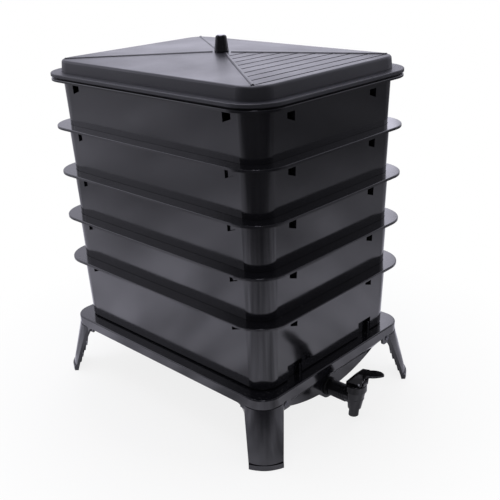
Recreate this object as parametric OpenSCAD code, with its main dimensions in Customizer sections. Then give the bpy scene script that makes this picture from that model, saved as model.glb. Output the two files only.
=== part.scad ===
// Wormery: five nesting worm trays on a legged collector stand, with a roofed lid and a lever tap.
// Millimetres, +Z up. The origin is on the floor under the middle of the stand.
// +X points to the end that carries the tap, and Y runs across the trays.

/* [Trays] */
// Length of a tray over its rim
tray_len = 396; // [360:1:430]
// Width of a tray over its rim
tray_wid = 299; // [260:1:330]
// Height of a tray from foot to rim
tray_h = 95.4; // [85:0.1:110]
// Radius of the rim at each corner, seen from above
rim_r = 44; // [38:1:50]
// Distance from the edge of the rim in to the outer face of the wall
rim_reach = 15.5; // [12:0.5:17]
// Thickness of the flat rim
rim_t = 2.2; // [1.8:0.1:3]
// Height of the lip that turns down from the edge of the rim
rim_lip_h = 3.2; // [2.6:0.1:6]
// Thickness of that lip
rim_lip_t = 1.8; // [1.4:0.1:3]
// Rounding of the upper edge of the rim
rim_round = 1.1; // [0.6:0.1:1.6]
// Thickness of the tray wall
wall_t = 2.2; // [1.8:0.1:2.3]
// Lean of the tray wall, in degrees
wall_draft = 2.4; // [2.2:0.1:3]
// Thickness of the tray floor
floor_t = 2.5; // [2:0.1:4]
// Rounding between the wall and the floor outside
foot_round = 3; // [2:0.5:4]
// Width of the vents of a tray
vent_w = 13; // [10:0.5:16]
// Height of a vent along its upright edge
vent_h = 11.5; // [9:0.5:13]
// Drop from the rim to the top of the vents on the long sides
vent_drop = 8.5; // [7.5:0.5:10]
// Distance of those vents from the middle of the long side
vent_x = 138; // [120:1:141]
// Reach of the shelves that the next tray stands on, in from the wall
shelf_reach = 5.5; // [4:0.5:6]
// Drop from the rim to those shelves
shelf_drop = 9.9; // [8:0.1:12]
// Distance of the shelves from the middle of the short side
shelf_y = 77; // [70:1:80]
// Height of the notches in the foot of the tray
notch_h = 21.9; // [18:0.1:26]
// Reach of a notch from its shelf towards the middle of the side
notch_in = 17; // [12:1:20]
// Reach of a notch from its shelf towards the corner
notch_out = 10.5; // [10:0.5:12]
// Sideways room between a shelf and the notch over it
shelf_gap = 1; // [0.5:0.1:1.5]
// Diameter of the holes that the worms climb through
hole_d = 6; // [4:0.5:8]
// Spacing of those holes
hole_pitch = 30; // [24:1:40]
// Bare border between the holes and the foot of the wall
hole_border = 24; // [20:1:30]

/* [Lid] */
// Shadow gap between the edge of the lid and the tray rim
lid_gap = 2.6; // [1.5:0.1:4]
// Height of the edge of the lid
lid_edge_h = 4; // [3:0.1:6]
// How far the lid reaches past the tray rim
lid_over = 0.5; // [0:0.1:2]
// Thickness of the lid
lid_t = 2.2; // [1.8:0.1:3]
// Height of the eaves of the lid above the tray rim
eaves_h = 22.1; // [18:0.1:30]
// Distance from the edge of the lid to the wall under the eaves
lid_step = 14.8; // [12:0.1:16]
// Lean of that wall over its height
lid_lean = 1.2; // [0.5:0.1:2]
// Rounding of the eaves
eaves_round = 3.4; // [2:0.1:4]
// Rise of the roof from the eaves to its ridge
roof_rise = 6.1; // [4:0.1:12]
// Half length of the flat ridge
ridge_half = 4; // [3:0.5:12]
// Radius of the ribs along the hips of the roof
hip_r = 2.6; // [1.8:0.1:3.4]
// Height by which those ribs stand out of the roof
hip_proud = 1.3; // [0.6:0.1:1.6]
// Distance from the end of such a rib to the sharp corner of the roof
hip_end = 12; // [11:0.5:24]
// Number of the rain grooves on the slope over the tap
groove_n = 9; // [3:1:9]
// Spacing of the rain grooves
groove_pitch = 17.6; // [12:0.1:18.4]
// Distance from the eaves to the first groove
groove_edge = 9.5; // [6:0.5:14]
// Width of a groove
groove_w = 2.4; // [1.5:0.1:4]
// Depth of a groove
groove_d = 0.9; // [0.5:0.1:1.2]
// Depth of the skirt that centres the lid in the tray
skirt_h = 6; // [4:0.5:9]
// Thickness of the skirt and of the bearing rib
skirt_t = 2; // [1.6:0.1:3]
// Side play of the skirt in the mouth of the tray
skirt_gap = 0.5; // [0.4:0.1:1.5]
// Distance from the end of a groove to the rib on the hip
groove_end = 3.6; // [3:0.2:12]
// Border of the flat pad that shows round the knob
knob_pad = 0.5; // [0.2:0.1:2]

/* [Knob] */
// Diameter of the knob at its foot
knob_foot_d = 18.5; // [16:0.5:22]
// Diameter of the knob at its top
knob_top_d = 14.2; // [12:0.2:18]
// Height of the knob
knob_h = 21.4; // [16:0.2:28]
// Rounding of the top of the knob
knob_round = 2.4; // [1:0.1:3]
// Number of flutes round the knob
flute_n = 12; // [8:1:16]
// Diameter of a flute
flute_d = 2.6; // [1.5:0.1:3]
// Height of the plain foot below the flutes
knob_plinth = 1.6; // [1:0.1:4]
// Diameter of the screw that holds the knob
knob_screw_d = 4; // [3:0.5:5]
// Diameter of the head of that screw
knob_screw_head_d = 8; // [7:0.5:9]
// Height of the head of that screw
knob_screw_head_h = 2.4; // [2:0.1:3]
// Width of the key socket in that head
knob_key_d = 2.8; // [2:0.1:4]
// Reach of the screw into the knob
knob_screw_reach = 14; // [10:1:16]
// Play of a screw in the hole that it passes through, on the diameter
screw_gap = 0.4; // [0.2:0.1:0.6]

/* [Stand] */
// Length of the stand over its lip
stand_len = 388; // [370:1:400]
// Width of the stand over its lip
stand_wid = 294; // [270:1:310]
// Radius of the corners of the stand, seen from above
stand_r = 27.5; // [24:0.5:34]
// Height of the deck above the floor
deck_h = 87.6; // [80:0.1:110]
// Thickness of the deck
deck_t = 2.8; // [2.2:0.1:4]
// Height of the lip round the deck
lip_h = 13.6; // [10:0.1:18]
// Thickness of the lip
lip_t = 2.8; // [2.2:0.1:4]
// Rounding of the upper edge of the lip
lip_round = 1.8; // [1:0.1:2]
// Distance from the lip in to the end walls of the sump
sump_in = 17.5; // [17.5:0.5:30]
// Distance from the lip in to the side walls of the sump
sump_side = 35; // [32:0.5:46]
// Wall thickness of the sump
sump_t = 2.6; // [2:0.1:3.5]
// Plan radius of the corners of the sump
sump_r = 16; // [10:1:24]
// Radius of the rounded belly of the sump
belly_r = 250; // [230:5:300]
// Height of the belly above the floor at the tap end
belly_low = 34; // [30:1:42]
// Fall of the sump towards the tap, in degrees
sump_fall = 1.3; // [0.5:0.1:2]
// Height above the floor at which the apron under the lip meets the sump
apron_low = 54; // [50:1:62]
// Half width of that apron
apron_half = 98; // [80:1:104]
// Thickness of the apron
apron_t = 2.4; // [2:0.1:3]
// Size of the rounded ears between the lip and each leg
ear_size = 12; // [8:1:16]
// Width of the tab that takes a leg screw, from the leg along the short side
tab_w = 14; // [13:0.5:16]
// Depth of that tab below the lip
tab_h = 10; // [9:0.5:12]
// Height of the ribs that stand in the notches of the lowest tray
key_h = 15; // [10:1:18]
// Thickness of those ribs
key_t = 3; // [2:0.5:4]
// Play between those ribs and the ends of the notches
key_gap = 0.6; // [0.4:0.1:1.5]
// Depth of those ribs, from the back of the notch outwards
key_d = 4; // [3:0.5:5]

/* [Legs] */
// Thickness of a leg plate
leg_t = 3.4; // [2.8:0.1:5]
// Radius of the leg plate at the top
leg_top_r = 28.6; // [28:0.2:40]
// Radius of the leg plate at the floor
leg_foot_r = 40; // [36:1:50]
// Distance that the foot stands out past the corner of the lip
leg_splay = 18.5; // [2:0.5:20]
// Width of the leg at the top
leg_top_w = 49; // [42:1:52]
// Width of the leg just above its foot
leg_low_w = 43.2; // [36:0.2:48]
// Height of the thickened foot
foot_h = 7; // [5:0.5:10]
// Distance that the foot stands proud of the leg at the floor
foot_proud = 0.5; // [0.3:0.1:2.5]
// Radius of the face of the foot, seen from above
foot_r = 50; // [42:1:60]
// Distance between the two stiffening ribs of a leg
leg_rib_gap = 16; // [12:1:24]
// Thickness of a stiffening rib
leg_rib_t = 2.6; // [2:0.1:4]
// Depth of the ribs behind the face of the leg at the top
leg_rib_d = 12; // [10:0.5:16]
// Depth of the ribs just above their step
leg_rib_step_d = 14.5; // [12:0.5:18]
// Depth of the ribs below their step
leg_rib_low_d = 11; // [8:0.5:12]
// Height at which the ribs step back
leg_rib_step = 27; // [20:1:50]
// Height of the collar that plugs in behind the lip
collar_h = 18; // [14:1:24]
// Thickness of the collar
collar_t = 3; // [2.4:0.1:4]
// Length of each straight wing of the collar
collar_wing = 16; // [14:1:20]
// Clearance between the collar and the lip
collar_gap = 0.2; // [0.1:0.05:0.4]
// Distance of the leg screws from the middle of the short side
screw_y = 108; // [107:0.5:110]
// Drop of the leg screws below the deck
screw_drop = 16; // [14:0.5:17]
// Diameter of a leg screw
screw_d = 4; // [3:0.5:4.5]
// Diameter of the head of a leg screw
screw_head_d = 7.2; // [6:0.2:8]
// Height of the head of a leg screw
screw_head_h = 1.6; // [1.2:0.1:2.2]
// Length of a leg screw under its head
screw_len = 10; // [8:1:14]
// Diameter of the boss on the collar that the screw bites in
screw_boss_d = 9; // [8:0.5:10]

/* [Tap] */
// Height of the tap's shank above the floor
tap_h = 38.5; // [37:0.5:42]
// Outer diameter of the shank
shank_d = 20; // [18:0.5:21]
// Bore of the shank
shank_bore = 12; // [10:0.5:13]
// Distance from the end wall to the upright axis of the tap
tap_reach = 44.5; // [40:0.5:50]
// Diameter of the collar on the shank
shank_collar_d = 24.4; // [23:0.2:26]
// Thickness of that collar
shank_collar_t = 2.5; // [2:0.1:4]
// Diameter of the rubber washers
washer_d = 25; // [24:0.5:26]
// Thickness of the rubber washers
washer_t = 2.4; // [1.5:0.1:3]
// Diameter of the ring nut
nut_d = 26.4; // [25:0.2:27]
// Thickness of the ring nut
nut_t = 7; // [5:0.5:9]
// Number of grip notches round the nut
nut_notches = 8; // [6:1:12]
// Diameter of a grip notch
nut_notch_d = 2.4; // [1.6:0.1:3]
// Room round the nut in the well of the sump
nut_room = 0.8; // [0.5:0.1:2]
// Length of the shank past the nut
shank_past = 2.8; // [1:0.2:4]
// Play of the shank in the hole of the end wall, on the radius
shank_gap = 0.2; // [0.1:0.05:0.4]
// Diameter of the barrel under the bonnet
barrel_d = 24.8; // [24:0.1:26]
// Height of the top of the barrel above the shank axis
barrel_top = 12; // [11:0.5:14]
// Depth of the spout's mouth below the shank axis
spout_drop = 27; // [26:0.5:34]
// Depth of the barrel's shoulder below the shank axis
shoulder_drop = 15; // [13:0.5:18]
// Diameter of the barrel at that shoulder
shoulder_d = 17.6; // [17:0.1:20]
// Outer diameter of the spout
spout_d = 13.4; // [13:0.1:16]
// Distance that the spout's mouth lies back towards the stand
spout_back = 3.8; // [2:0.1:5]
// Bore of the spout
spout_bore = 10; // [8:0.5:11]
// Depth of the straight bore in the spout's mouth
spout_socket = 10; // [8:1:12]
// Diameter of the chamber over the valve seat
chamber_d = 15; // [14:0.2:16]
// Drop of the valve seat below the shank axis
seat_drop = 6; // [5.8:0.1:7]
// Diameter of the neck that the bonnet screws on to
neck_d = 21; // [19:0.5:22]
// Height of that neck
neck_h = 7; // [5:0.5:8]
// Play of the bonnet on that neck, on the radius
neck_gap = 0.1; // [0.05:0.05:0.2]
// Diameter of the bonnet
bonnet_d = 27.4; // [27:0.1:30]
// Height of the bonnet
bonnet_h = 10.5; // [9.5:0.1:11]
// Rounding of the upper edge of the bonnet
bonnet_round = 2; // [1:0.1:3]
// Diameter of the valve stem
stem_d = 4; // [3.4:0.1:4.2]
// Running clearance of the stem in the bonnet, on the radius
stem_gap = 0.08; // [0.05:0.01:0.1]
// Diameter of the head of the stem
stem_head_d = 7; // [6.6:0.1:7.2]
// Thickness of the head of the stem
stem_head_t = 1.2; // [1:0.1:1.3]
// Diameter of the rubber seat cup
cup_d = 12.8; // [12:0.1:13.4]
// Height of the seat cup
cup_h = 7; // [5:0.5:8]
// Distance from the stem out to the lever's pin
pin_reach = 9.5; // [9:0.1:10.5]
// Height of the lever's pin above the bonnet
pin_rise = 4; // [3.8:0.1:5]
// Diameter of the lever's pin
pin_d = 3; // [2.4:0.1:3.4]
// Running clearance of the lever on its pin, on the radius
pin_gap = 0.05; // [0.03:0.01:0.1]
// Radius of the pivot lug on the bonnet
lug_r = 5.4; // [5:0.1:6]
// Width of the pivot lug
lug_w = 10; // [8:0.5:11]
// Side play between the lug and the cheeks of the lever
cheek_gap = 0.5; // [0.3:0.1:1]
// Thickness of a cheek of the lever
cheek_t = 2.6; // [2:0.1:3.5]
// Diameter of the pegs that lift the stem
peg_d = 3.2; // [2.8:0.1:3.4]
// Play of the pegs against the stem and under its head
peg_gap = 0.4; // [0.2:0.05:0.6]
// Distance from the stem in to the front of the lever's hood
hood_reach = 10.8; // [10.4:0.1:11.4]
// Length of the lever past its pin
lever_reach = 32; // [26:1:40]
// Rise of the lever's tip above its pin
lever_rise = 23.5; // [18:0.5:28]
// Width of the leaf-shaped paddle
paddle_w = 17; // [16.6:0.2:22]

/* [Hidden] */
TRAYS = ["tray_1", "tray_2", "tray_3", "tray_4", "tray_5"];
LEGS = ["leg_front_left", "leg_front_right", "leg_back_left", "leg_back_right"];

// Overrun of every cut, so that it leaves no skin
cut = 1;
// Overlap of pieces that are moulded together
lap = 0.8;

// Height of a vent along its short edge, as a share of its height
vent_low_share = 0.58;
// Level of the bevel on the rounding of the knob, as a share of it
knob_bevel_share = 0.33;
// Part of the nut that its grip notches run along, as a share of its thickness
nut_notch_share = 0.67;
// Height of the flange of the seat cup, as a share of the cup
cup_flange_share = 0.33;
// Height of the lever's brow over its pin, as a share of the lever's rise
brow_share = 0.66;
// Place of the lever's throat under its paddle, as shares of its reach and rise
throat_shares = [0.4, 0.66];
// Height of the lever's armpit over its pin, as a share of the lug's radius
armpit_share = 2.1;

plastic = "#1d1e20";
gloss = "#121314";
rubber = "#2a2a2c";
steel = "#b4b6b8";
silicone = "#c9cac8";

// Places on a tray, from the middle of its foot
tray_cx = tray_len / 2 - rim_r;
tray_cy = tray_wid / 2 - rim_r;
rim_z = tray_h - rim_t;
function wall_r(z) = rim_r - rim_reach - (rim_z - z) * tan(wall_draft);
function wall_x(z) = tray_cx + wall_r(z);
shelf_z = tray_h - shelf_drop;
shelf_x = wall_x(shelf_z) - shelf_reach - wall_t;
window_z = shelf_z - wall_t;
notch_x = shelf_x - shelf_gap;
tray_pitch = shelf_z - notch_h;
vent_z = tray_h - vent_drop;
mouth_r = wall_r(rim_z) - wall_t;

// Places on the lid, from the rim of the highest tray
lid_r = rim_r + lid_over;
lid_wall_r = lid_r - lid_step;
eaves_r = lid_wall_r - lid_lean;
roof_r = eaves_r - eaves_round;
roof_x = tray_cx + roof_r;
roof_y = tray_cy + roof_r;
ridge_z = eaves_h + roof_rise;
roof_slope = atan(roof_rise / (roof_x - ridge_half));
hip_run = norm([roof_x - ridge_half, roof_y]);
lid_z = deck_h + tray_pitch * (len(TRAYS) - 1) + tray_h;

// Places on the stand
stand_cx = stand_len / 2 - stand_r;
stand_cy = stand_wid / 2 - stand_r;
lip_low = deck_h - lip_h;
sump_x = stand_len / 2 - sump_in;
sump_y = stand_wid / 2 - sump_side;
deck_low = deck_h - deck_t;
well_r = nut_d / 2 + nut_room;
shank_tail = sump_t + washer_t + nut_t + shank_past;
well_len = shank_tail + sump_t;
leg_edge = leg_top_w / 2 + collar_gap;

// Places on a leg, along the diagonal out of the corner of the lip
leg_top_u = stand_r - leg_top_r;
leg_foot_u = stand_r + leg_splay - leg_foot_r;
leg_lean = atan((leg_top_u - leg_foot_u) / lip_low);
collar_r = stand_r - lip_t - collar_gap;
screw_z = deck_h - screw_drop;

// Places on the tap, from the middle of the hole in the end wall
seat_z = -seat_drop;
bonnet_top = barrel_top + bonnet_h;
pin_x = tap_reach + pin_reach;
pin_z = bonnet_top + pin_rise;
spout_lean = atan(spout_back / (barrel_top + spout_drop));
head_z = pin_z + peg_d / 2 + peg_gap;
cup_low = seat_z + cup_h * cup_flange_share;
hood_x = tap_reach - hood_reach;
armpit_z = pin_z + lug_r * armpit_share;
cheek_y = lug_w / 2 + cheek_gap;
lever_y = cheek_y + cheek_t;

// A rounded rectangle by the centres of its corners
module round_plan(cx, cy, r) {
    square([2 * (cx + r), 2 * cy], center = true);
    square([2 * cx, 2 * (cy + r)], center = true);
    for (x = [-cx, cx], y = [-cy, cy]) translate([x, y]) circle(r, $fn = 96);
}

// The children's outline led round a rounded rectangle, its X axis out from the corner centres
module led_round(cx, cy) {
    for (mx = [0, 1], my = [0, 1]) mirror([mx, 0, 0]) mirror([0, my, 0])
        translate([cx, cy, 0]) rotate_extrude(angle = 90, $fn = 96) children();
    for (m = [0, 1]) mirror([m, 0, 0])
        translate([cx, cy, 0]) rotate([90, 0, 0]) linear_extrude(2 * cy) children();
    for (m = [0, 1]) mirror([0, m, 0])
        translate([-cx, cy, 0]) rotate([90, 0, 90]) linear_extrude(2 * cx) children();
}

// An outline in X and Z, extruded evenly to both sides along Y
module across(w) {
    rotate([90, 0, 0]) linear_extrude(w, center = true) children();
}

// A rectangle with its upper outer corner rounded
module soft_bar(w, h, r) {
    square([w - r, h]);
    square([w, h - r]);
    translate([w - r, h - r]) circle(r, $fn = 32);
}

// Tray

// Rim, lip, leaning wall and rounded foot of a tray in section
module tray_section() {
    foot_in = wall_r(foot_round) - foot_round;
    polygon([[foot_in - lap, 0], [foot_in, 0], [wall_r(foot_round), foot_round], [wall_r(rim_z), rim_z],
        [wall_r(rim_z), rim_z + lap], [mouth_r, rim_z + lap], [wall_r(floor_t) - wall_t, floor_t],
        [foot_in - lap, floor_t]]);
    translate([foot_in, foot_round]) circle(foot_round, $fn = 48);
    translate([mouth_r, rim_z]) soft_bar(rim_r - mouth_r, rim_t, rim_round);
    translate([rim_r - rim_lip_t, tray_h - rim_lip_h]) square([rim_lip_t, rim_lip_h - rim_round]);
}

// Places the children at the four shelves of a tray
module at_shelves() {
    for (mx = [0, 1], my = [0, 1]) mirror([mx, 0, 0]) mirror([0, my, 0])
        translate([0, shelf_y, 0]) children();
}

// The box behind a vent on the short side, whose top is the shelf for the next tray
module shelf_block() {
    low = window_z - vent_h - wall_t;
    across(vent_w + 2 * wall_t) polygon([[shelf_x, shelf_z], [wall_x(shelf_z) - wall_t / 2, shelf_z],
        [wall_x(low) - wall_t / 2, low - shelf_reach / 2], [shelf_x, low]]);
}

module notch_block() {
    depth = wall_x(0) - foot_round - notch_x;
    translate([notch_x - wall_t, -notch_in - wall_t, 0])
        cube([depth + wall_t, notch_in + notch_out + 2 * wall_t, notch_h + wall_t]);
}

module notch() {
    translate([notch_x, -notch_in, -cut])
        cube([rim_r, notch_in + notch_out, notch_h + cut]);
}

// The outline of an air vent from its top edge, its upright edge to the left
module vent() {
    low = vent_h * vent_low_share;
    polygon([[-vent_w / 2, 0], [vent_w / 2, 0], [vent_w / 2, -low], [-vent_w / 2, -vent_h]]);
}

// The vents cut through the walls, two on each side
module vents() {
    for (turn = [0, 180], side = [-1, 1]) rotate(turn) {
        translate([side * vent_x, -tray_cy - wall_r(vent_z), vent_z]) across(2 * rim_r) vent();
        translate([shelf_x - cut, side * shelf_y, window_z]) rotate([90, 0, 90])
            linear_extrude(rim_r) mirror([1, 0, 0]) vent();
    }
}

module tray() {
    hole_nx = floor((wall_x(0) - hole_border) / hole_pitch);
    hole_ny = floor((tray_cy + wall_r(0) - hole_border) / hole_pitch);
    color(plastic) difference() {
        union() {
            led_round(tray_cx, tray_cy) tray_section();
            linear_extrude(floor_t) round_plan(tray_cx, tray_cy, wall_r(foot_round) - foot_round - lap / 2);
            at_shelves() {
                shelf_block();
                notch_block();
            }
        }
        at_shelves() notch();
        vents();
        for (i = [-hole_nx : hole_nx], j = [-hole_ny : hole_ny])
            translate([i * hole_pitch, j * hole_pitch, -cut])
                cylinder(d = hole_d, h = floor_t + 2 * cut, $fn = 24);
    }
}

module tray_in_stack(name) {
    translate([0, 0, deck_h + search([name], TRAYS)[0] * tray_pitch]) tray();
}

// Lid

// Edge, wall, eaves, bearing rib and centring skirt of the lid in section
module lid_section() {
    brim_z = lid_gap + lid_edge_h;
    round_z = eaves_h - eaves_round;
    rib_r = (mouth_r + rim_r) / 2;
    translate([lid_wall_r - lid_t, brim_z - lid_t]) soft_bar(lid_step + lid_t, lid_t, rim_round);
    translate([lid_r - rim_lip_t, lid_gap]) square([rim_lip_t, lid_edge_h - rim_round]);
    polygon([[lid_wall_r, brim_z - lid_t], [lid_wall_r, brim_z], [eaves_r, round_z], [roof_r, eaves_h],
        [roof_r - lap, eaves_h], [roof_r - lap, eaves_h - lid_t], [roof_r, eaves_h - lid_t],
        [eaves_r - lid_t, round_z], [lid_wall_r - lid_t, brim_z - lid_t]]);
    translate([roof_r, round_z]) intersection() {
        difference() {
            circle(eaves_round, $fn = 48);
            circle(eaves_round - lid_t, $fn = 48);
        }
        square(eaves_round);
    }
    translate([rib_r, 0]) square([skirt_t, brim_z - lid_t + lap]);
    translate([mouth_r - skirt_gap - skirt_t, -skirt_h]) square([skirt_t, skirt_h + brim_z - lid_t / 2]);
    translate([mouth_r - skirt_gap - skirt_t, brim_z - lid_t]) square([lid_step, lid_t]);
}

// A solid hipped roof whose ridge lies at height top
module hip_roof(top) {
    eaves = top - roof_rise;
    intersection() {
        across(2 * roof_y + 2 * lid_r)
            polygon([[-roof_x, eaves], [-ridge_half, top], [ridge_half, top], [roof_x, eaves],
                [roof_x, 0], [-roof_x, 0]]);
        rotate(90) across(2 * roof_x + 2 * lid_r)
            polygon([[-roof_y, eaves], [0, top], [roof_y, eaves], [roof_y, 0], [-roof_y, 0]]);
    }
}

module roof() {
    intersection() {
        difference() {
            hip_roof(ridge_z);
            hip_roof(ridge_z - lid_t);
        }
        linear_extrude(ridge_z + cut) round_plan(tray_cx, tray_cy, roof_r);
    }
}

// Places the children at the end of each ridge, their X axis down along the hip
module at_hips() {
    for (mx = [0, 1], my = [0, 1]) mirror([mx, 0, 0]) mirror([0, my, 0])
        translate([ridge_half, 0, ridge_z]) rotate(atan(roof_y / (roof_x - ridge_half)))
            rotate([0, atan(roof_rise / hip_run), 0]) children();
}

// A rounded rib down a hip, ending short of the rounded corner of the eaves
module hip_rib() {
    translate([knob_foot_d / 2, 0, hip_proud - hip_r]) rotate([0, 90, 0])
        cylinder(r = hip_r, h = hip_run - knob_foot_d / 2 - hip_end, $fn = 32);
}

// Rain grooves across the slope over the tap, each from hip to hip
module rain_grooves() {
    for (i = [0 : groove_n - 1]) {
        x = roof_x - groove_edge - i * groove_pitch;
        half = roof_y * (x - ridge_half) / (roof_x - ridge_half) - groove_end;
        z = ridge_z - roof_rise * (x - ridge_half) / (roof_x - ridge_half);
        translate([x, 0, z]) rotate([0, roof_slope, 0])
            translate([-groove_w / 2, -half, -groove_d]) cube([groove_w, 2 * half, groove_d + cut]);
    }
}

module lid() {
    pad_r = knob_foot_d / 2 + knob_pad;
    color(plastic) translate([0, 0, lid_z]) difference() {
        union() {
            led_round(tray_cx, tray_cy) lid_section();
            difference() {
                roof();
                rain_grooves();
            }
            intersection() {
                at_hips() hip_rib();
                hip_roof(ridge_z + hip_proud);
            }
            translate([0, 0, ridge_z - 2 * lid_t]) cylinder(r = pad_r, h = 2 * lid_t, $fn = 48);
        }
        translate([0, 0, ridge_z - 2 * lid_t - cut])
            cylinder(d = knob_screw_d + screw_gap, h = 2 * lid_t + 2 * cut, $fn = 32);
    }
}

// Knob

module lid_knob() {
    foot = knob_foot_d / 2;
    top = knob_top_d / 2;
    bevel = knob_round * knob_bevel_share;
    taper = atan((foot - top) / (knob_h - knob_round - knob_plinth));
    color(gloss) translate([0, 0, lid_z + ridge_z]) difference() {
        rotate_extrude($fn = 64) polygon([[0, 0], [foot, 0], [foot, knob_plinth], [top, knob_h - knob_round],
            [top - bevel, knob_h - bevel], [top - knob_round, knob_h], [0, knob_h]]);
        for (i = [0 : flute_n - 1]) rotate(i * 360 / flute_n)
            translate([foot + flute_d / 4, 0, knob_plinth + lap]) rotate([0, -taper, 0])
                cylinder(d = flute_d, h = knob_h, $fn = 24);
        translate([0, 0, -cut]) cylinder(d = knob_screw_d, h = knob_screw_reach + 2 * cut, $fn = 32);
    }
}

module knob_screw() {
    seat = ridge_z - 2 * lid_t;
    color(steel) translate([0, 0, lid_z + seat]) {
        cylinder(d = knob_screw_d, h = 2 * lid_t + knob_screw_reach, $fn = 32);
        translate([0, 0, -knob_screw_head_h]) difference() {
            cylinder(d = knob_screw_head_d, h = knob_screw_head_h, $fn = 32);
            translate([0, 0, -cut]) cylinder(d = knob_key_d, h = knob_screw_head_h / 2 + cut, $fn = 6);
        }
    }
}

// Stand

// The rounded trough of the sump, drawn in by inset on every side and open to the top
module trough(inset, top) {
    intersection() {
        translate([0, 0, belly_low + sump_x * sin(sump_fall) + belly_r]) rotate([0, 90 + sump_fall, 0])
            cylinder(r = belly_r - inset, h = 2 * stand_len, center = true, $fn = 180);
        linear_extrude(top) round_plan(sump_x - sump_r, sump_y - sump_r, sump_r - inset);
    }
}

// The well in the end of the sump that leaves room for the nut
module tap_well(r, start, end) {
    translate([sump_x - start, 0, tap_h]) rotate([0, 90, 0]) cylinder(r = r, h = start - end, $fn = 64);
}

// The sloping apron that joins the lip to the end wall of the sump
module apron() {
    low = sump_x - sump_t / 2;
    high = stand_len / 2 - lip_t / 2;
    across(2 * apron_half) polygon([[high, lip_low], [high, lip_low + lap],
        [stand_len / 2 - lip_t, lip_low + 2 * apron_t], [low, apron_low + 2 * apron_t], [low, apron_low],
        [sump_x, apron_low]]);
}

// A rounded ear under the lip, from the edge of a leg along the side
module ear() {
    difference() {
        translate([-ear_size, -ear_size]) square([ear_size + leg_t, ear_size + lap]);
        translate([-ear_size, -ear_size]) circle(ear_size, $fn = 64);
    }
}

// The tab under the lip of the short side that takes a leg screw
module tab() {
    round = tab_h / 2;
    translate([-tab_w + round, -tab_h]) square([tab_w + leg_t - round, tab_h + lap]);
    translate([-tab_w, round - tab_h]) square([tab_w, tab_h + lap - round]);
    translate([-tab_w + round, round - tab_h]) circle(round, $fn = 48);
}

// Both at each corner, cut off along the edge of the leg
module ears() {
    edge = stand_r - leg_edge * sqrt(2);
    for (mx = [0, 1], my = [0, 1]) mirror([mx, 0, 0]) mirror([0, my, 0]) difference() {
        union() {
            translate([stand_cx + edge, stand_wid / 2, lip_low]) rotate([90, 0, 0])
                linear_extrude(lip_t) ear();
            translate([stand_len / 2 - lip_t, stand_cy + edge, lip_low]) rotate([90, 0, 90])
                linear_extrude(lip_t) tab();
        }
        translate([stand_cx, stand_cy, 0]) rotate(45) translate([0, -leg_edge, 0])
            cube([2 * leg_top_r, 2 * leg_edge, lip_low]);
    }
}

// Two upright ribs in each notch of the lowest tray, which hold it in place
module keys() {
    ends = [-notch_in + key_gap, notch_out - key_gap - key_t];
    top = key_h + lap;
    at_shelves() for (y = ends) translate([notch_x + key_gap, y + key_t / 2, deck_h - lap])
        across(key_t) polygon([[0, 0], [key_d, 0], [key_d, key_h], [key_d / 2, top], [0, top]]);
}

// The lip round the deck in section
module lip_section() {
    inner = stand_r - lip_t;
    polygon([[inner - lap, deck_low], [inner, deck_low], [inner, lip_low], [stand_r, lip_low],
        [stand_r, deck_h - lip_round], [stand_r - lip_round, deck_h], [inner - lap, deck_h]]);
    translate([stand_r - lip_round, deck_h - lip_round]) intersection() {
        circle(lip_round, $fn = 32);
        square(lip_round);
    }
}

module stand() {
    color(plastic) difference() {
        union() {
            led_round(stand_cx, stand_cy) lip_section();
            translate([0, 0, deck_low]) linear_extrude(deck_t)
                round_plan(stand_cx, stand_cy, stand_r - lip_t);
            trough(0, deck_low + lap);
            tap_well(well_r + sump_t, well_len + sump_t, 0);
            for (m = [0, 1]) mirror([m, 0, 0]) apron();
            ears();
            keys();
        }
        trough(sump_t, deck_h + cut);
        tap_well(well_r, well_len, sump_t);
        tap_well(shank_d / 2 + shank_gap, well_len, -cut);
        for (mx = [0, 1], y = [-screw_y, screw_y]) mirror([mx, 0, 0])
            translate([stand_len / 2 - lip_t - cut, y, screw_z]) rotate([0, 90, 0])
                cylinder(d = screw_d + screw_gap, h = lip_t + 2 * cut, $fn = 32);
    }
}

// Legs, each drawn from the centre of its corner with X out along the diagonal

// A leaning cone whose surface passes through the leg's top and foot radii, grown by more
module leg_cone(more) {
    run = lip_low / cos(leg_lean);
    grow = (leg_foot_r - leg_top_r) / run;
    over = cut + leg_foot_r * abs(sin(leg_lean));
    translate([leg_foot_u, 0, 0]) rotate([0, leg_lean, 0]) translate([0, 0, -over])
        cylinder(r1 = leg_foot_r + more + grow * over, r2 = leg_top_r + more - grow * over,
            h = run + 2 * over, $fn = 128);
}

// The face of the leg seen along the diagonal, upright over the height of the foot
module leg_face() {
    polygon([[-leg_low_w / 2, foot_h], [-leg_top_w / 2, lip_low], [leg_top_w / 2, lip_low],
        [leg_low_w / 2, foot_h], [leg_low_w / 2, 0], [-leg_low_w / 2, 0]]);
}

module leg_plate() {
    intersection() {
        difference() {
            leg_cone(0);
            leg_cone(-leg_t);
        }
        rotate([90, 0, 90]) linear_extrude(2 * leg_foot_r) leg_face();
    }
    difference() {
        intersection() {
            translate([stand_r + leg_splay + foot_proud - foot_r, 0, 0])
                cylinder(r = foot_r, h = foot_h, $fn = 128);
            translate([0, -leg_low_w / 2, 0]) cube([2 * foot_r, leg_low_w, foot_h]);
        }
        leg_cone(-leg_t);
    }
}

// Two stepped stiffening ribs behind the plate
module leg_ribs() {
    step_u = stand_r + leg_splay * (1 - leg_rib_step / lip_low);
    foot_u = stand_r + leg_splay * (1 - foot_h / lip_low);
    intersection() {
        for (y = [-leg_rib_gap / 2, leg_rib_gap / 2]) translate([0, y, 0]) across(leg_rib_t)
            polygon([[stand_r - leg_rib_d, lip_low], [step_u - leg_rib_step_d, leg_rib_step],
                [step_u - leg_rib_low_d, leg_rib_step], [foot_u - leg_rib_low_d, foot_h],
                [foot_u, foot_h], [stand_r + leg_splay, lip_low]]);
        leg_cone(-leg_t / 2);
    }
}

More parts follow.
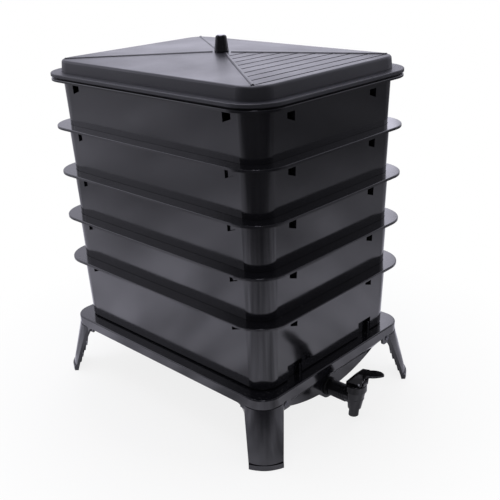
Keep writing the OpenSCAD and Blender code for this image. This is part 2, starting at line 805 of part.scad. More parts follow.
// One rounded corner in plan with straight wings of the given length
module corner_plan(r, wing) {
    intersection() {
        circle(r, $fn = 96);
        square(r);
    }
    translate([-wing, -wing]) square([wing, wing + r]);
    translate([-wing, -wing]) square([wing + r, wing]);
}

// The collar that plugs in behind the lip, with a boss for the leg screw
module leg_collar() {
    translate([0, 0, deck_low - collar_h]) linear_extrude(collar_h) difference() {
        corner_plan(collar_r, collar_wing);
        corner_plan(collar_r - collar_t, collar_wing + cut);
    }
    translate([collar_r - collar_t - screw_len / 2, screw_y - stand_cy, screw_z]) rotate([0, 90, 0])
        cylinder(d = screw_boss_d, h = screw_len / 2 + collar_t / 2, $fn = 48);
}

// The web that joins the plate to the collar
module leg_web() {
    low = deck_low - collar_h;
    difference() {
        intersection() {
            leg_cone(-leg_t / 2);
            translate([0, leg_t - leg_top_w / 2, low])
                cube([leg_foot_r, leg_top_w - 2 * leg_t, lip_low - low]);
        }
        rotate(-45) translate([0, 0, low - cut]) linear_extrude(collar_h + 2 * cut)
            corner_plan(collar_r - collar_t / 2, collar_wing);
    }
}

module leg(mx, my) {
    color(plastic) mirror([mx, 0, 0]) mirror([0, my, 0]) translate([stand_cx, stand_cy, 0]) difference() {
        union() {
            rotate(45) {
                leg_plate();
                leg_ribs();
                leg_web();
            }
            leg_collar();
        }
        translate([0, screw_y - stand_cy, screw_z]) rotate([0, 90, 0])
            cylinder(d = screw_d, h = stand_r + cut, $fn = 32);
    }
}

module leg_screws() {
    color(gloss) for (mx = [0, 1], y = [-screw_y, screw_y]) mirror([mx, 0, 0])
        translate([stand_len / 2, y, screw_z]) rotate([0, 90, 0]) {
            translate([0, 0, -screw_len]) cylinder(d = screw_d, h = screw_len, $fn = 32);
            rotate_extrude($fn = 48) {
                square([screw_head_d / 4, screw_head_h]);
                square([screw_head_d / 2, screw_head_h / 2]);
                translate([screw_head_d / 4, 0]) polygon([[0, 0], [screw_head_d / 4, 0],
                    [screw_head_d / 4, screw_head_h / 2], [0, screw_head_h]]);
            }
        }
}

// Tap, each piece drawn from the middle of its hole in the end wall with X outwards

module at_tap() {
    translate([sump_x, 0, tap_h]) children();
}

// A cylinder along X from start to end
module bar_x(d, start, end) {
    translate([start, 0, 0]) rotate([0, 90, 0]) cylinder(d = d, h = end - start, $fn = 64);
}

module tap_washer_outer() {
    color(rubber) at_tap() difference() {
        bar_x(washer_d, 0, washer_t);
        bar_x(shank_d, -cut, washer_t + cut);
    }
}

module tap_washer_inner() {
    color(rubber) at_tap() difference() {
        bar_x(washer_d, -sump_t - washer_t, -sump_t);
        bar_x(shank_d, -sump_t - washer_t - cut, -sump_t + cut);
    }
}

module tap_nut() {
    inner = -sump_t - washer_t;
    end = inner - nut_t;
    color(gloss) at_tap() difference() {
        bar_x(nut_d, end, inner);
        bar_x(shank_d, end - cut, inner + cut);
        for (i = [0 : nut_notches - 1]) rotate([i * 360 / nut_notches, 0, 0])
            translate([0, 0, nut_d / 2])
                bar_x(nut_notch_d, end - cut, end + nut_t * nut_notch_share);
    }
}

// A cone down from the top of the barrel, leaning back with the spout and cut off level at a drop
module lean_cone(drop, low_d, high_d) {
    over = 2 * cut;
    run = (barrel_top + drop) / cos(spout_lean);
    grow = (high_d - low_d) / 2 / run;
    low_r = low_d / 2 - grow * over;
    high_r = high_d / 2 + grow * over;
    intersection() {
        translate([tap_reach, 0, barrel_top]) rotate([0, spout_lean, 0]) translate([0, 0, -run - over])
            cylinder(r1 = low_r, r2 = high_r, h = run + 2 * over, $fn = 96);
        translate([tap_reach - 2 * barrel_d, -barrel_d, -drop])
            cube([4 * barrel_d, 2 * barrel_d, drop + barrel_top]);
    }
}

module tap_body() {
    mouth_x = tap_reach - spout_back;
    socket_top = spout_socket - spout_drop;
    color(gloss) at_tap() difference() {
        union() {
            bar_x(shank_d, -shank_tail, tap_reach);
            bar_x(shank_collar_d, washer_t, washer_t + shank_collar_t);
            lean_cone(shoulder_drop, shoulder_d, barrel_d);
            lean_cone(spout_drop, spout_d, spout_d);
            translate([tap_reach, 0, 0]) cylinder(d = neck_d, h = barrel_top + neck_h, $fn = 64);
        }
        bar_x(shank_bore, -shank_tail - cut, tap_reach);
        translate([tap_reach, 0, seat_z]) cylinder(d = chamber_d, h = bonnet_top - seat_z, $fn = 64);
        hull() {
            translate([tap_reach, 0, seat_z]) cylinder(d = spout_bore, h = cut, $fn = 32);
            translate([mouth_x, 0, socket_top - lap]) cylinder(d = spout_bore, h = lap, $fn = 32);
        }
        translate([mouth_x, 0, -spout_drop - cut]) cylinder(d = spout_bore, h = spout_socket + cut, $fn = 64);
    }
}

// The bonnet with the lug that carries the lever
module tap_bonnet() {
    color(gloss) at_tap() difference() {
        union() {
            translate([tap_reach, 0, barrel_top]) rotate_extrude($fn = 96) {
                polygon([[0, 0], [bonnet_d / 2, 0], [bonnet_d / 2, bonnet_h - bonnet_round],
                    [bonnet_d / 2 - bonnet_round, bonnet_h], [0, bonnet_h]]);
                translate([bonnet_d / 2 - bonnet_round, bonnet_h - bonnet_round])
                    circle(bonnet_round, $fn = 32);
            }
            across(lug_w) {
                translate([pin_x, pin_z]) circle(lug_r, $fn = 64);
                translate([pin_x - lug_r, bonnet_top - lap]) square([lug_r, pin_rise + lap]);
            }
        }
        translate([tap_reach, 0, barrel_top]) {
            translate([0, 0, -cut]) cylinder(r = neck_d / 2 + neck_gap, h = neck_h + cut, $fn = 64);
            cylinder(r = stem_d / 2 + stem_gap, h = bonnet_h + cut, $fn = 48);
        }
        translate([pin_x, 0, pin_z]) rotate([90, 0, 0])
            cylinder(d = pin_d, h = 2 * lug_w, center = true, $fn = 48);
    }
}

module tap_stem() {
    color(steel) at_tap() translate([tap_reach, 0, 0]) {
        translate([0, 0, cup_low]) cylinder(d = stem_d, h = head_z - cup_low + lap, $fn = 48);
        translate([0, 0, head_z]) cylinder(d = stem_head_d, h = stem_head_t, $fn = 48);
    }
}

module tap_seat_cup() {
    top = seat_z + cup_h;
    color(silicone) at_tap() translate([tap_reach, 0, 0]) difference() {
        rotate_extrude($fn = 64) polygon([[0, seat_z], [cup_d / 2, seat_z], [cup_d / 2, cup_low],
            [stem_d, top], [0, top]]);
        translate([0, 0, cup_low]) cylinder(d = stem_d, h = cup_h, $fn = 48);
    }
}

// The lever from the side: hood over the stem, eye at the pin and paddle out to the tip
module lever_side() {
    brow_x = pin_x - peg_d;
    brow_z = pin_z + lever_rise * brow_share;
    tip = [pin_x + lever_reach, pin_z + lever_rise];
    eye_r = pin_rise - lap / 2;
    polygon([[hood_x, bonnet_top + lap], [hood_x, bonnet_top + 2 * lap], [brow_x - cheek_t, brow_z - lap],
        [brow_x + lap, brow_z], [tip.x - lap, tip.y], tip, [tip.x, tip.y - cheek_t],
        [pin_x + lever_reach * throat_shares[0], pin_z + lever_rise * throat_shares[1]],
        [pin_x + lug_r + cheek_t, armpit_z], [pin_x + pin_rise, pin_z + lug_r / 2], [pin_x + eye_r, pin_z],
        [pin_x, bonnet_top + lap]]);
    translate([pin_x, pin_z]) circle(eye_r, $fn = 48);
}

// The hollow of the lever round the lug and the head of the stem
module lever_hollow() {
    polygon([[hood_x + cheek_t, 0], [hood_x + cheek_t, bonnet_top + 2 * lap + cheek_t / 2],
        [pin_x - lug_r, armpit_z], [pin_x + lug_r + cheek_t, armpit_z - lap], [pin_x + 2 * lug_r, 0]]);
}

// The lever from above: a plain head, then a leaf between two arcs
module lever_plan() {
    leaf_x = pin_x + lever_reach / 2 - lap;
    leaf_half = lever_reach / 2 + 2 * lap;
    leaf_r = (pow(leaf_half, 2) + pow(paddle_w / 2, 2)) / paddle_w;
    intersection() {
        translate([leaf_x, leaf_r - paddle_w / 2]) circle(leaf_r, $fn = 128);
        translate([leaf_x, paddle_w / 2 - leaf_r]) circle(leaf_r, $fn = 128);
    }
    translate([0, -lever_y]) square([pin_x + lug_r, 2 * lever_y]);
}

module tap_lever() {
    peg_in = stem_d / 2 + peg_gap;
    color(gloss) at_tap() difference() {
        union() {
            difference() {
                intersection() {
                    across(2 * paddle_w) lever_side();
                    linear_extrude(2 * (pin_z + lever_rise)) lever_plan();
                }
                across(2 * cheek_y) lever_hollow();
            }
            for (m = [0, 1]) mirror([0, m, 0]) translate([tap_reach, cheek_y + lap, pin_z]) rotate([90, 0, 0])
                cylinder(d = peg_d, h = cheek_y + lap - peg_in, $fn = 48);
        }
        translate([pin_x, 0, pin_z]) rotate([90, 0, 0])
            cylinder(r = pin_d / 2 + pin_gap, h = 4 * paddle_w, center = true, $fn = 48);
    }
}

module tap_lever_pin() {
    color(steel) at_tap() translate([pin_x, 0, pin_z]) rotate([90, 0, 0])
        cylinder(d = pin_d, h = 2 * lever_y, center = true, $fn = 48);
}

for (name = TRAYS) tray_in_stack(name);
leg(0, 1);  // leg_front_left
leg(0, 0);  // leg_front_right
leg(1, 1);  // leg_back_left
leg(1, 0);  // leg_back_right
stand();
leg_screws();
lid();
lid_knob();
knob_screw();
tap_body();
tap_washer_outer();
tap_washer_inner();
tap_nut();
tap_bonnet();
tap_stem();
tap_seat_cup();
tap_lever();
tap_lever_pin();
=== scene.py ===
"""Wormery: five nested trays under a hipped lid, on a legged stand with a lever tap.
Metres, +Z up, origin on the floor under the middle of the stand, +X towards the tap."""

import math

import bmesh
import bpy
from mathutils import Matrix, Vector


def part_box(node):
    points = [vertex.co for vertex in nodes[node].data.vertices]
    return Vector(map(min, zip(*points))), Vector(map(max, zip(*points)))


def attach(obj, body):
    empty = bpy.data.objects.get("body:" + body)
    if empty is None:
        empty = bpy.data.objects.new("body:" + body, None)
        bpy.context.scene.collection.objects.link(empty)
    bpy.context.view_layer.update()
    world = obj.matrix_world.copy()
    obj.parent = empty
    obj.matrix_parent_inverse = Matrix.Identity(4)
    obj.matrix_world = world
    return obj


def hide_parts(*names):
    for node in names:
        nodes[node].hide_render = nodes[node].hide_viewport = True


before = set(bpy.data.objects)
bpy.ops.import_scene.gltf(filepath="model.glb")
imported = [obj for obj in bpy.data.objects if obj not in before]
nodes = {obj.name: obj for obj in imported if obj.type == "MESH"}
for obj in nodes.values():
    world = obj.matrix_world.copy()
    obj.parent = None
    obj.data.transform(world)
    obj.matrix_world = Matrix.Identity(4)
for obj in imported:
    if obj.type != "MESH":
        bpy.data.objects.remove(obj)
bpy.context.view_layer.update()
scene = bpy.context.scene
scene.view_settings.view_transform = "Standard"

MM = 0.001
WHITE = (1, 1, 1, 1)


def linear(text):
    """An sRGB hex value as a linear colour."""
    parts = [int(text[i : i + 2], 16) / 255 for i in (1, 3, 5)]
    return [c / 12.92 if c < 0.04045 else ((c + 0.055) / 1.055) ** 2.4 for c in parts] + [1]


def add_node(tree, kind, settings=None, **links):
    """Adds a node. Settings name properties or sockets, or number sockets. Links name the socket that
    another node's output goes to, with _ for a space, or number it as i0, i1 and so on."""
    made = tree.nodes.new(kind)
    for name, value in (settings or {}).items():
        if isinstance(name, str) and hasattr(made, name):
            setattr(made, name, value)
        else:
            made.inputs[name].default_value = value
    for name, source in links.items():
        socket = int(name[1:]) if name[1:].isdigit() else name.replace("_", " ")
        tree.links.new(made.inputs[socket], source)
    return made


def new_material(name):
    material = bpy.data.materials.new(name)
    material.use_nodes = True
    material.node_tree.nodes.clear()
    return material, material.node_tree


FLOW_MM = 60  # how far apart the slow sinks and swells of a moulded wall lie
FLOW_DEPTH_MM = 0.6
GRAIN_DEPTH_MM = 0.05
SPECK_MM = 2.2  # dust is finer than this, and drawn this coarse to show
DUST = "#5b5a5c"
PLASTIC_IOR = 1.49


def moulded(name, colour, rough, spread, grain_mm, grain, sheen=0.5):
    """A moulded plastic or rubber: tool grain, slow flow ripple, a roughness that wanders by spread as
    handling rubs it, and dust on what faces up. Tool grain is near 0.1 mm, and grain_mm is how coarse
    it is drawn to show, and grain how strongly. Sheen is the specular level."""
    material, tree = new_material(name)
    place = add_node(tree, "ShaderNodeTexCoord").outputs["Object"]
    pits = add_node(tree, "ShaderNodeTexNoise", {"Scale": 1 / (grain_mm * MM), "Detail": 2.0}, Vector=place)
    flow = add_node(
        tree,
        "ShaderNodeTexNoise",
        {"Scale": 1 / (FLOW_MM * MM), "Detail": 3.0, "Roughness": 0.45},
        Vector=place,
    )
    rubbed = add_node(
        tree,
        "ShaderNodeMapRange",
        {"From Min": 0.3, "From Max": 0.7, "To Min": rough - spread, "To Max": rough + spread},
        Value=flow.outputs["Fac"],
    )
    fine = add_node(
        tree,
        "ShaderNodeBump",
        {"Strength": grain, "Distance": GRAIN_DEPTH_MM * MM},
        Height=pits.outputs["Fac"],
    )
    wave = add_node(
        tree,
        "ShaderNodeBump",
        {"Strength": 0.35, "Distance": FLOW_DEPTH_MM * MM},
        Height=flow.outputs["Fac"],
        Normal=fine.outputs[0],
    )
    # only the peaks of the cloud make specks, and only where the surface looks up
    cloud = add_node(tree, "ShaderNodeTexNoise", {"Scale": 1 / (SPECK_MM * MM), "Detail": 1.0}, Vector=place)
    specks = add_node(
        tree, "ShaderNodeMapRange", {"From Min": 0.70, "From Max": 0.76}, Value=cloud.outputs["Fac"]
    )
    facing = add_node(tree, "ShaderNodeNewGeometry").outputs["Normal"]
    upward = add_node(tree, "ShaderNodeSeparateXYZ", Vector=facing).outputs["Z"]
    lying = add_node(
        tree, "ShaderNodeMapRange", {"From Min": 0.6, "From Max": 0.95, "To Max": 0.5}, Value=upward
    )
    dusty = add_node(
        tree, "ShaderNodeMath", {"operation": "MULTIPLY"}, i0=specks.outputs[0], i1=lying.outputs[0]
    )
    tint = add_node(
        tree, "ShaderNodeMix", {"data_type": "RGBA", 6: linear(colour), 7: linear(DUST)}, i0=dusty.outputs[0]
    )
    shader = add_node(
        tree,
        "ShaderNodeBsdfPrincipled",
        {"IOR": PLASTIC_IOR, "Specular IOR Level": sheen},
        Base_Color=tint.outputs[2],
        Roughness=rubbed.outputs[0],
        Normal=wave.outputs[0],
    )
    add_node(tree, "ShaderNodeOutputMaterial", Surface=shader.outputs[0])
    return material


# Polypropylene, injection moulded in a polished tool: near black, and it mirrors the room softly.
polypropylene = moulded(
    "polypropylene_polished_moulded", "#0d0d11", rough=0.14, spread=0.04, grain_mm=0.7, grain=0.12, sheen=0.8
)
# Polypropylene, injection moulded in a spark-eroded tool: the same black, greyed by an even sheen. Its colour
# is set lighter than the polished black's, as painted sheen.
textured = moulded(
    "polypropylene_textured_moulded", "#1b1b22", rough=0.42, spread=0.04, grain_mm=0.6, grain=0.5, sheen=0.75
)
# Acetal, injection moulded in a polished tool: deeper black with crisp highlights.
acetal = moulded("acetal_gloss_moulded", "#0a0a0c", rough=0.16, spread=0.04, grain_mm=0.5, grain=0.1)
# Nitrile rubber, pressed: matt, a little greyer than the plastic beside it.
nitrile = moulded("nitrile_rubber_pressed", "#1d1d1e", rough=0.7, spread=0.06, grain_mm=0.4, grain=0.5)
# Silicone rubber, pressed: milky grey and soft looking.
silicone = moulded("silicone_rubber_pressed", "#bcbdb9", rough=0.45, spread=0.05, grain_mm=0.5, grain=0.2)

RING_MM = 0.15  # feed of the lathe
RING_DEPTH_MM = 0.02
WAVE_PERIOD = 0.31  # metres between the bands of a wave texture at scale 1


def turned_steel(name, colour):
    """Steel bar turned on a lathe: fine rings across the Z axis, rougher on their crests."""
    material, tree = new_material(name)
    place = add_node(tree, "ShaderNodeTexCoord").outputs["Object"]
    rings = add_node(
        tree,
        "ShaderNodeTexWave",
        {
            "wave_type": "BANDS",
            "bands_direction": "Z",
            "Scale": WAVE_PERIOD / (RING_MM * MM),
            "Distortion": 0.4,
        },
        Vector=place,
    ).outputs["Fac"]
    worn = add_node(tree, "ShaderNodeMapRange", {"To Min": 0.26, "To Max": 0.36}, Value=rings)
    bump = add_node(
        tree, "ShaderNodeBump", {"Strength": 0.15, "Distance": RING_DEPTH_MM * MM}, Height=rings
    )
    shader = add_node(
        tree,
        "ShaderNodeBsdfPrincipled",
        {"Base Color": linear(colour), "Metallic": 1.0},
        Roughness=worn.outputs[0],
        Normal=bump.outputs[0],
    )
    add_node(tree, "ShaderNodeOutputMaterial", Surface=shader.outputs[0])
    return material


# Stainless steel, turned from bar: bright, with rings that stretch its highlights.
steel = turned_steel("stainless_steel_turned", "#c3c4c6")
# Steel, cold headed, rolled and blackened: dark metal with a dull, ringed glint.
steel_black = turned_steel("steel_blackened", "#6e6e72")

FINISH = {
    polypropylene: [n for n in nodes if n.startswith(("tray_", "leg_f", "leg_b"))] + ["stand"],
    textured: ["lid"],
    acetal: ["lid_knob", "leg_screws", "tap_body", "tap_bonnet", "tap_nut", "tap_lever"],
    nitrile: ["tap_washer_outer", "tap_washer_inner"],
    silicone: ["tap_seat_cup"],
    steel: ["knob_screw", "tap_stem", "tap_lever_pin"],
}
for material, names in FINISH.items():
    for name in names:
        data = nodes[name].data
        data.materials.clear()
        data.materials.append(material)


def new_piece(name, bm, material, body):
    """Turns a bmesh into a smooth-shaded piece that rides on a body."""
    data = bpy.data.meshes.new(name)
    bm.to_mesh(data)
    bm.free()
    data.materials.append(material)
    made = bpy.data.objects.new(name, data)
    scene.collection.objects.link(made)
    for face in data.polygons:
        face.use_smooth = True
    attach(made, body)
    return made


# The leg screws, drawn along Z with the seat of the head at 0
HEAD_R = 3.6 * MM
HEAD_H = 1.6 * MM
HEAD_CROWN = ((1, 0), (1, 0.3), (0.92, 0.62), (0.7, 0.88), (0.4, 1), (0, 1))  # shares of HEAD_R, HEAD_H
SCREW_R = 2.0 * MM
SCREW_LEN = 10 * MM
CREST = 0.5 * MM
CREST_PITCH = 1.8 * MM
CRESTS = 4
TIP_LEN = 1.6 * MM
TIP_GAP = 0.3 * MM
CROSS_HALF = 0.5 * MM  # half the width of an arm of the cross
CROSS_REACH = 1.9 * MM
CROSS_DEPTH = 0.9 * MM
CROSS_RIM = 0.7  # share of HEAD_H above which the crown is cut by the cross


def screw_outline():
    """Half the section of a pan-head screw from tip to crown. The thread's turns are drawn as rings."""
    root = SCREW_R - CREST
    outline = [(0, -SCREW_LEN), (root, TIP_LEN - SCREW_LEN)]
    for i in range(CRESTS):
        z = TIP_LEN + TIP_GAP - SCREW_LEN + i * CREST_PITCH
        outline += [(root, z), (SCREW_R, z + 0.25 * CREST_PITCH), (root, z + 0.5 * CREST_PITCH)]
    return outline + [(root, 0)] + [(r * HEAD_R, z * HEAD_H) for r, z in HEAD_CROWN]


def spun(bm, outline, steps):
    """Spins an outline of (radius, height) points round the Z axis of the bmesh into a closed form."""
    points = [bm.verts.new((r, 0, z)) for r, z in outline]
    edges = [bm.edges.new(pair) for pair in zip(points, points[1:])]
    bmesh.ops.spin(
        bm,
        geom=points + edges,
        cent=(0, 0, 0),
        axis=(0, 0, 1),
        dvec=(0, 0, 0),
        angle=2 * math.pi,
        steps=steps,
        use_merge=True,
    )
    bmesh.ops.remove_doubles(bm, verts=bm.verts, dist=0.001 * MM)
    bmesh.ops.recalc_face_normals(bm, faces=bm.faces)


def sink_cross(bm):
    """Cuts the crown of a screw along the sides of a cross and sinks what lies in the cross."""
    for axis in ((1, 0, 0), (0, 1, 0)):
        for side in (CROSS_HALF, CROSS_REACH):
            for sign in (1, -1):
                bmesh.ops.bisect_plane(
                    bm,
                    geom=bm.verts[:] + bm.edges[:] + bm.faces[:],
                    plane_co=tuple(sign * side * v for v in axis),
                    plane_no=axis,
                )
    cross = []
    for face in bm.faces:
        middle = face.calc_center_median()
        narrow, wide = sorted((abs(middle.x), abs(middle.y)))
        if narrow < CROSS_HALF and wide < CROSS_REACH and middle.z > CROSS_RIM * HEAD_H:
            cross.append(face)
    sunk = bmesh.ops.extrude_face_region(bm, geom=cross)["geom"]
    bmesh.ops.delete(bm, geom=cross, context="FACES")
    bottom = [v for v in sunk if isinstance(v, bmesh.types.BMVert)]
    bmesh.ops.translate(bm, verts=bottom, vec=(0, 0, -CROSS_DEPTH))
    bmesh.ops.recalc_face_normals(bm, faces=bm.faces)


def crosshead_screws():
    """The four screws that hold the legs: pan heads with a cross recess and a coarse thread for plastic."""
    low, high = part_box("leg_screws")
    group = bmesh.new()
    for sx in (1, -1):
        for sy in (1, -1):
            screw = bmesh.new()
            spun(screw, screw_outline(), 32)
            sink_cross(screw)
            turn = Matrix.Rotation(math.pi / 2 * sx, 4, "Y")
            place = Vector((sx * (high.x - HEAD_H), sy * (high.y - HEAD_R), (low.z + high.z) / 2))
            bmesh.ops.transform(screw, matrix=Matrix.Translation(place) @ turn, verts=screw.verts)
            held = bpy.data.meshes.new("held")
            screw.to_mesh(held)
            screw.free()
            group.from_mesh(held)
            bpy.data.meshes.remove(held)
    made = new_piece("leg_screws_crosshead", group, steel_black, "stand")
    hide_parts("leg_screws")


# The thread on the shank of the tap. Its pitch is drawn coarser than the moulded one's, to show
COLLAR_T = 2.6 * MM
THREAD_LEN = 26.5 * MM
THREAD_R = 9.9 * MM  # just inside the shank, so that no gap shows
THREAD_DEPTH = 1.1 * MM
THREAD_PITCH = 3.2 * MM
THREAD_SECTION = ((0, 0), (0.3, 1), (0.45, 1), (0.75, 0))  # shares of the pitch and the depth
THREAD_STEPS = 40  # in a turn


def shank_thread():
    """The moulded thread on the shank of the tap, led round the shank from its collar to the barrel."""
    low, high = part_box("tap_washer_outer")
    start = high.x + COLLAR_T
    axis_z = (low.z + high.z) / 2
    bm = bmesh.new()
    points = [
        bm.verts.new((start + along * THREAD_PITCH, 0, axis_z + THREAD_R + out * THREAD_DEPTH))
        for along, out in THREAD_SECTION
    ]
    edges = [bm.edges.new(pair) for pair in zip(points, points[1:] + points[:1])]
    turns = int(THREAD_LEN / THREAD_PITCH)
    bmesh.ops.spin(
        bm,
        geom=points + edges,
        cent=(0, 0, axis_z),
        axis=(1, 0, 0),
        dvec=(THREAD_PITCH / THREAD_STEPS, 0, 0),
        angle=2 * math.pi * turns,
        steps=THREAD_STEPS * turns,
    )
    bmesh.ops.holes_fill(bm, edges=bm.edges[:], sides=len(THREAD_SECTION))
    bmesh.ops.recalc_face_normals(bm, faces=bm.faces)
    new_piece("tap_shank_thread", bm, acetal, "stand")


def softened_lever():
    """The lever of the tap with its edges rounded as the moulded one's are."""
    bm = bmesh.new()
    bm.from_mesh(nodes["tap_lever"].data)
    bmesh.ops.remove_doubles(bm, verts=bm.verts, dist=0.002 * MM)
    bmesh.ops.dissolve_limit(bm, angle_limit=math.radians(1), verts=bm.verts, edges=bm.edges)
    inner = [e for e in bm.edges if len(e.link_faces) == 2]
    bmesh.ops.bevel(
        bm,
        geom=[e for e in inner if e.calc_face_angle() > math.radians(35)],
        offset=0.5 * MM,
        segments=3,
        profile=0.5,
        affect="EDGES",
        material=-1,
        clamp_overlap=True,
    )
    bmesh.ops.triangulate(bm, faces=bm.faces)
    made = new_piece("tap_lever_rounded", bm, acetal, "lever")
    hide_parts("tap_lever")


crosshead_screws()
shank_thread()
softened_lever()

FLOOR_R = 6
PAPER = "#f6f6f6"
COOL_PAPER = "#eeedf7"  # the paper as the gloss sees it, before the painted light and shade scale it
COOL_ROOM = (0.87, 0.86, 1.0)  # the room as the gloss sees it, and the tint of the lamps
WORLD_FILL = 0.62
FRONT = (0.707, -0.707, 0)  # over the floor from the object towards the photograph's viewpoint
RIGHT = (0.707, 0.707, 0)
VIEWPOINT = (0.66, -0.68, 0.32)
# how bright the room is, from straight behind the object (0) to behind the viewpoint (1)
ROOM_LEVELS = ((0.0, 1.0), (0.34, 1.0), (0.52, 0.3), (0.72, 0.14))
LAMP_AIM = Vector((0, 0, 0.25))
# name, place in metres, width in metres, watts
LAMPS = (
    ("softbox_over", (-0.5, 0.2, 1.9), 0.9, 10),
    ("softbox_side", (-1.6, -1.2, 1.1), 1.0, 4),
    ("softbox_back", (-1.5, 1.6, 1.25), 1.3, 6.5),
    ("softbox_front", (0.62, -0.64, 2.1), 0.45, 3),
)


def floor_paper():
    """Pale paper. Rays from the lens see it white, but for a soft shadow near the object. The gloss of
    the object sees it cool and painted with uneven light and shade, a painted reflection that shades
    the walls of the trays."""
    material, tree = new_material("studio_floor_paper")
    path = add_node(tree, "ShaderNodeLightPath")
    place = add_node(tree, "ShaderNodeTexCoord").outputs["Object"]
    distance = add_node(tree, "ShaderNodeVectorMath", {"operation": "LENGTH"}, i0=place).outputs["Value"]
    # painted shade: as the gloss sees it, the paper is painted lightest beside and behind the object and
    # darkest in front of it
    forward = add_node(tree, "ShaderNodeVectorMath", {"operation": "DOT_PRODUCT", 1: FRONT}, i0=place)
    painted_front_shade = add_node(
        tree,
        "ShaderNodeMapRange",
        {"interpolation_type": "SMOOTHSTEP", "From Min": 0.3, "From Max": 0.9, "To Min": 1.0, "To Max": 0.12},
        Value=forward.outputs["Value"],
    )
    # painted shade: darker far off to the right of the object
    sideways = add_node(tree, "ShaderNodeVectorMath", {"operation": "DOT_PRODUCT", 1: RIGHT}, i0=place)
    painted_side_shade = add_node(
        tree,
        "ShaderNodeMapRange",
        {"From Min": 0.5, "From Max": 1.3, "To Min": 1.0, "To Max": 0.25},
        Value=sideways.outputs["Value"],
    )
    # and painted light in soft streaks that run out from the object
    outward = add_node(tree, "ShaderNodeVectorMath", {"operation": "NORMALIZE"}, i0=place)
    drawn_out = add_node(
        tree,
        "ShaderNodeVectorMath",
        {"operation": "MULTIPLY_ADD", 1: (1.1, 1.1, 0)},
        i0=place,
        i2=outward.outputs["Vector"],
    )
    streaks = add_node(
        tree,
        "ShaderNodeTexNoise",
        {"Scale": 2.6, "Detail": 2.0, "Roughness": 0.55},
        Vector=drawn_out.outputs["Vector"],
    )
    painted_light_streaks = add_node(
        tree,
        "ShaderNodeMapRange",
        {"From Min": 0.33, "From Max": 0.67, "To Min": 0.5, "To Max": 1.3},
        Value=streaks.outputs["Fac"],
    )
    # painted light: brighter near the object, dimmer farther off
    painted_near_light = add_node(
        tree,
        "ShaderNodeMapRange",
        {"From Min": 0.3, "From Max": 0.9, "To Min": 1.35, "To Max": 0.75},
        Value=distance,
    )
    # the painted light and shade, multiplied together
    painted_light = painted_front_shade.outputs[0]
    for share in (painted_side_shade, painted_light_streaks, painted_near_light):
        product = add_node(tree, "ShaderNodeMath", {"operation": "MULTIPLY"}, i0=painted_light, i1=share.outputs[0])
        painted_light = product.outputs[0]
    cool = add_node(
        tree, "ShaderNodeVectorMath", {"operation": "SCALE", 0: linear(COOL_PAPER)[:3]}, Scale=painted_light
    )
    colour = add_node(
        tree,
        "ShaderNodeMix",
        {"data_type": "RGBA", 6: linear(PAPER)},
        i0=path.outputs["Is Glossy Ray"],
        i7=cool.outputs[0],
    )
    paper = add_node(tree, "ShaderNodeBsdfPrincipled", {"Roughness": 0.85}, Base_Color=colour.outputs[2])
    white = add_node(tree, "ShaderNodeEmission", {"Color": WHITE, "Strength": 1.0})
    far = add_node(
        tree,
        "ShaderNodeMapRange",
        {"From Min": 0.22, "From Max": 0.5, "To Min": 0.82, "To Max": 1.0},
        Value=distance,
    )
    seen = add_node(
        tree,
        "ShaderNodeMath",
        {"operation": "MULTIPLY"},
        i0=path.outputs["Is Camera Ray"],
        i1=far.outputs[0],
    )
    mixed = add_node(
        tree, "ShaderNodeMixShader", i0=seen.outputs[0], i1=paper.outputs[0], i2=white.outputs[0]
    )
    add_node(tree, "ShaderNodeOutputMaterial", Surface=mixed.outputs[0])
    return material


def floor():
    bm = bmesh.new()
    bmesh.ops.create_circle(bm, cap_ends=True, segments=96, radius=FLOOR_R)
    data = bpy.data.meshes.new("floor")
    bm.to_mesh(data)
    bm.free()
    data.materials.append(floor_paper())
    made = bpy.data.objects.new("floor", data)
    scene.collection.objects.link(made)


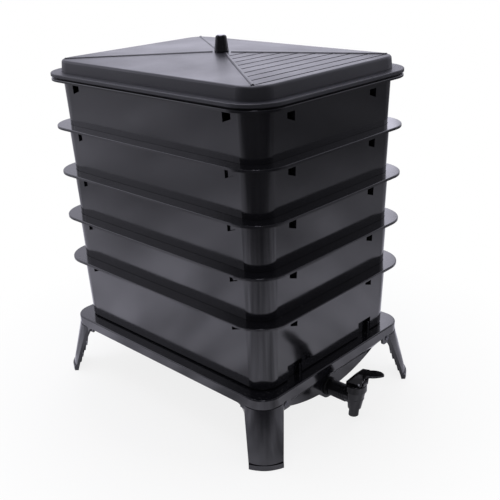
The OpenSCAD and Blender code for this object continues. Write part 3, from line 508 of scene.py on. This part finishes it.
def room():
    """White to the lens, an even fill to matt surfaces, and to the gloss a cool room that is bright
    behind the object and dark behind the viewpoint."""
    world = bpy.data.worlds.new("studio")
    world.use_nodes = True
    tree = world.node_tree
    tree.nodes.clear()
    path = add_node(tree, "ShaderNodeLightPath")
    look = add_node(tree, "ShaderNodeTexCoord").outputs["Generated"]
    towards = add_node(tree, "ShaderNodeVectorMath", {"operation": "DOT_PRODUCT", 1: VIEWPOINT}, i0=look)
    turned = add_node(
        tree, "ShaderNodeMapRange", {"From Min": -1.0, "From Max": 1.0}, Value=towards.outputs["Value"]
    )
    shade = add_node(tree, "ShaderNodeValToRGB", Fac=turned.outputs[0])
    steps = shade.color_ramp.elements
    while len(steps) < len(ROOM_LEVELS):
        steps.new(0.5)
    for step, (position, level) in zip(steps, ROOM_LEVELS):
        step.position = position
        step.color = [level * c for c in COOL_ROOM] + [1]
    even = add_node(tree, "ShaderNodeBackground", {"Color": WHITE, "Strength": WORLD_FILL})
    gloss = add_node(tree, "ShaderNodeBackground", {"Strength": 1.0}, Color=shade.outputs[0])
    white = add_node(tree, "ShaderNodeBackground", {"Color": WHITE, "Strength": 1.0})
    mirrored = add_node(
        tree,
        "ShaderNodeMath",
        {"operation": "MAXIMUM"},
        i0=path.outputs["Is Glossy Ray"],
        i1=path.outputs["Is Transmission Ray"],
    )
    mixed = add_node(
        tree, "ShaderNodeMixShader", i0=mirrored.outputs[0], i1=even.outputs[0], i2=gloss.outputs[0]
    )
    mixed = add_node(
        tree,
        "ShaderNodeMixShader",
        i0=path.outputs["Is Camera Ray"],
        i1=mixed.outputs[0],
        i2=white.outputs[0],
    )
    add_node(tree, "ShaderNodeOutputWorld", Surface=mixed.outputs[0])
    scene.world = world


def lamps():
    for name, place, size, power in LAMPS:
        lamp = bpy.data.lights.new(name, "AREA")
        lamp.size = size
        lamp.energy = power
        lamp.color = COOL_ROOM
        made = bpy.data.objects.new(name, lamp)
        made.location = place
        made.rotation_euler = (LAMP_AIM - Vector(place)).to_track_quat("-Z", "Y").to_euler()
        scene.collection.objects.link(made)


floor()
room()
lamps()

# The viewpoint that the photographed rims, lid and legs fit
VIEW_PLACE = (0.7394, -0.7271, 0.6142)
VIEW_YAW, VIEW_PITCH, VIEW_ROLL = map(math.radians, (43.98, 22.28, -2.07))
VIEW_LENS = 56.988  # on a sensor 36 mm wide


def photo_camera():
    level = Vector((math.cos(VIEW_YAW), math.sin(VIEW_YAW), 0))
    ahead = Vector((-math.sin(VIEW_YAW), math.cos(VIEW_YAW), 0))
    forward = math.cos(VIEW_PITCH) * ahead - math.sin(VIEW_PITCH) * Vector((0, 0, 1))
    upright = level.cross(forward)
    right = math.cos(VIEW_ROLL) * level + math.sin(VIEW_ROLL) * upright
    up = math.cos(VIEW_ROLL) * upright - math.sin(VIEW_ROLL) * level
    camera = bpy.data.cameras.new("photo_camera")
    camera.sensor_width = 36
    camera.lens = VIEW_LENS
    camera.clip_end = 50
    made = bpy.data.objects.new("photo_camera", camera)
    turn = Matrix((right, up, -forward)).transposed().to_4x4()
    made.matrix_world = Matrix.Translation(VIEW_PLACE) @ turn
    scene.collection.objects.link(made)
    scene.camera = made


photo_camera()
